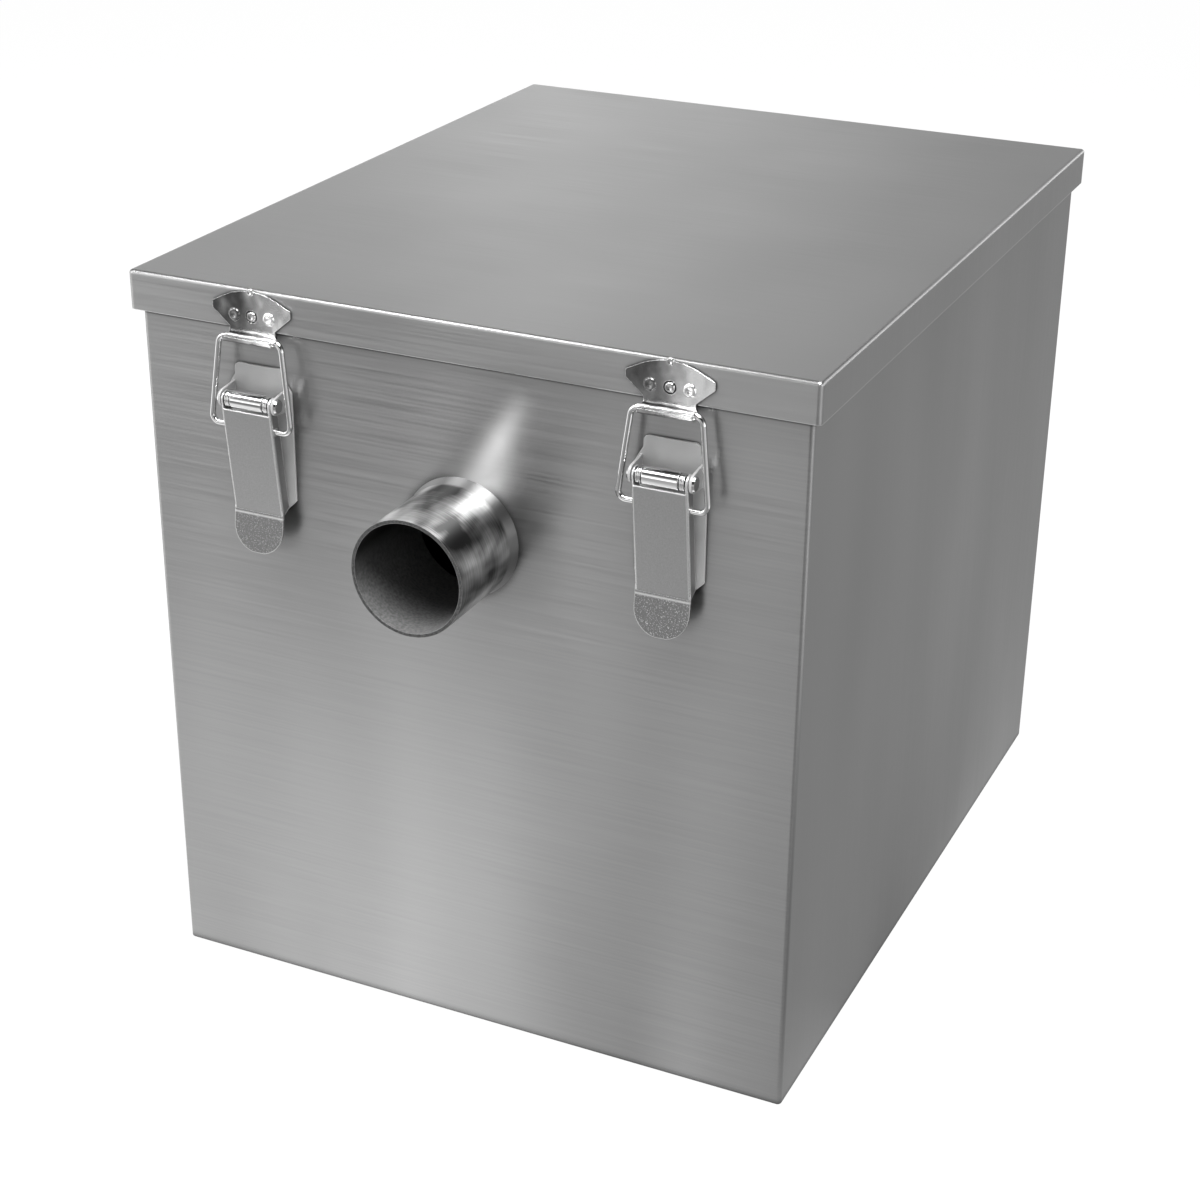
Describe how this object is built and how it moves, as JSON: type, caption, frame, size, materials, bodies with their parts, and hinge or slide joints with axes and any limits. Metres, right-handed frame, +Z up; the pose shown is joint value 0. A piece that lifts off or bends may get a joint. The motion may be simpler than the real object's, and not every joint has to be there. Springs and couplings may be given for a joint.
{
  "type": "grease trap",
  "caption": "Stainless steel kitchen grease trap: a brushed box tank with a pan lid on toggle latches, inlet and outlet pipes, baffles and a strainer basket",
  "frame": {"origin": "on the floor under the middle of the tank", "axes": "+Z up, the front with the inlet pipe faces -Y, X runs to the right along the front"},
  "size_m": [0.3072, 0.462, 0.3308],
  "materials": {
    "sheet_steel": "stainless sheet with a fine straight brushed grain",
    "pipe_steel": "drawn stainless tube, polished outside, matt inside",
    "inner_steel": "plain mill-finish stainless sheet",
    "satin_steel": "barrel-tumbled satin stainless stamping",
    "bright_steel": "bright polished stainless wire, pins and pressings",
    "seal_rubber": "matt black nitrile rubber"
  },
  "bodies": {
    "root": {"tank_shell": "sheet_steel", "lid_pan": "sheet_steel", "lid_gasket": "seal_rubber", "inlet_pipe": "pipe_steel", "outlet_pipe": "pipe_steel", "outlet_elbow": "pipe_steel", "dip_tube": "pipe_steel", "front_guide_left": "inner_steel", "front_guide_right": "inner_steel", "rear_guide_left": "inner_steel", "rear_guide_right": "inner_steel", "front_baffle": "inner_steel", "rear_baffle": "inner_steel", "strainer_basket": "inner_steel", "basket_rest_left": "inner_steel", "basket_rest_right": "inner_steel", "latch_front_left_keeper": "bright_steel", "latch_front_left_keeper_welds": "bright_steel", "latch_front_left_base": "satin_steel", "latch_front_left_pin": "bright_steel", "latch_front_left_roller": "bright_steel", "latch_front_left_springs": "bright_steel", "latch_front_right_keeper": "bright_steel", "latch_front_right_keeper_welds": "bright_steel", "latch_front_right_base": "satin_steel", "latch_front_right_pin": "bright_steel", "latch_front_right_roller": "bright_steel", "latch_front_right_springs": "bright_steel", "latch_back_left_keeper": "bright_steel", "latch_back_left_keeper_welds": "bright_steel", "latch_back_left_base": "satin_steel", "latch_back_left_pin": "bright_steel", "latch_back_left_roller": "bright_steel", "latch_back_left_springs": "bright_steel", "latch_back_right_keeper": "bright_steel", "latch_back_right_keeper_welds": "bright_steel", "latch_back_right_base": "satin_steel", "latch_back_right_pin": "bright_steel", "latch_back_right_roller": "bright_steel", "latch_back_right_springs": "bright_steel"},
    "basket_handle": {"basket_handle": "bright_steel"},
    "latch_front_left_lever": {"latch_front_left_lever": "satin_steel"},
    "latch_front_left_bail": {"latch_front_left_bail": "bright_steel"},
    "latch_front_right_lever": {"latch_front_right_lever": "satin_steel"},
    "latch_front_right_bail": {"latch_front_right_bail": "bright_steel"},
    "latch_back_left_lever": {"latch_back_left_lever": "satin_steel"},
    "latch_back_left_bail": {"latch_back_left_bail": "bright_steel"},
    "latch_back_right_lever": {"latch_back_right_lever": "satin_steel"},
    "latch_back_right_bail": {"latch_back_right_bail": "bright_steel"}
  },
  "joints": [
    {"name": "latch_front_left_lever_swing", "type": "hinge", "parent": "root", "child": "latch_front_left_lever", "pos_m": [-0.093, -0.1945, 0.2835], "axis": [-1, 0, 0], "range_deg": [0, 75], "stiffness_Nm_per_rad": 0.02, "springref_deg": -20.05},
    {"name": "latch_front_left_bail_swing", "type": "hinge", "parent": "latch_front_left_lever", "child": "latch_front_left_bail", "pos_m": [-0.093, -0.19423, 0.27195], "axis": [-1, 0, 0], "range_deg": [-57, 0]},
    {"name": "latch_front_right_lever_swing", "type": "hinge", "parent": "root", "child": "latch_front_right_lever", "pos_m": [0.093, -0.1945, 0.2835], "axis": [-1, 0, 0], "range_deg": [0, 75], "stiffness_Nm_per_rad": 0.02, "springref_deg": -20.05},
    {"name": "latch_front_right_bail_swing", "type": "hinge", "parent": "latch_front_right_lever", "child": "latch_front_right_bail", "pos_m": [0.093, -0.19423, 0.27195], "axis": [-1, 0, 0], "range_deg": [-57, 0]},
    {"name": "latch_back_left_lever_swing", "type": "hinge", "parent": "root", "child": "latch_back_left_lever", "pos_m": [-0.093, 0.1945, 0.281], "axis": [1, 0, 0], "range_deg": [0, 75], "stiffness_Nm_per_rad": 0.02, "springref_deg": -20.05},
    {"name": "latch_back_left_bail_swing", "type": "hinge", "parent": "latch_back_left_lever", "child": "latch_back_left_bail", "pos_m": [-0.093, 0.19423, 0.26945], "axis": [1, 0, 0], "range_deg": [-57, 0]},
    {"name": "latch_back_right_lever_swing", "type": "hinge", "parent": "root", "child": "latch_back_right_lever", "pos_m": [0.093, 0.1945, 0.281], "axis": [1, 0, 0], "range_deg": [0, 75], "stiffness_Nm_per_rad": 0.02, "springref_deg": -20.05},
    {"name": "latch_back_right_bail_swing", "type": "hinge", "parent": "latch_back_right_lever", "child": "latch_back_right_bail", "pos_m": [0.093, 0.19423, 0.26945], "axis": [1, 0, 0], "range_deg": [-57, 0]},
    {"name": "basket_handle_swing", "type": "hinge", "parent": "root", "child": "basket_handle", "pos_m": [0, -0.1178, 0.2125], "axis": [1, 0, 0], "range_deg": [0, 140]}
  ],
  "couplings": [
    {"joint": "latch_front_left_bail_swing", "follows": "latch_front_left_lever_swing", "ratio": -0.755},
    {"joint": "latch_front_right_bail_swing", "follows": "latch_front_right_lever_swing", "ratio": -0.755},
    {"joint": "latch_back_left_bail_swing", "follows": "latch_back_left_lever_swing", "ratio": -0.755},
    {"joint": "latch_back_right_bail_swing", "follows": "latch_back_right_lever_swing", "ratio": -0.755}
  ]
}
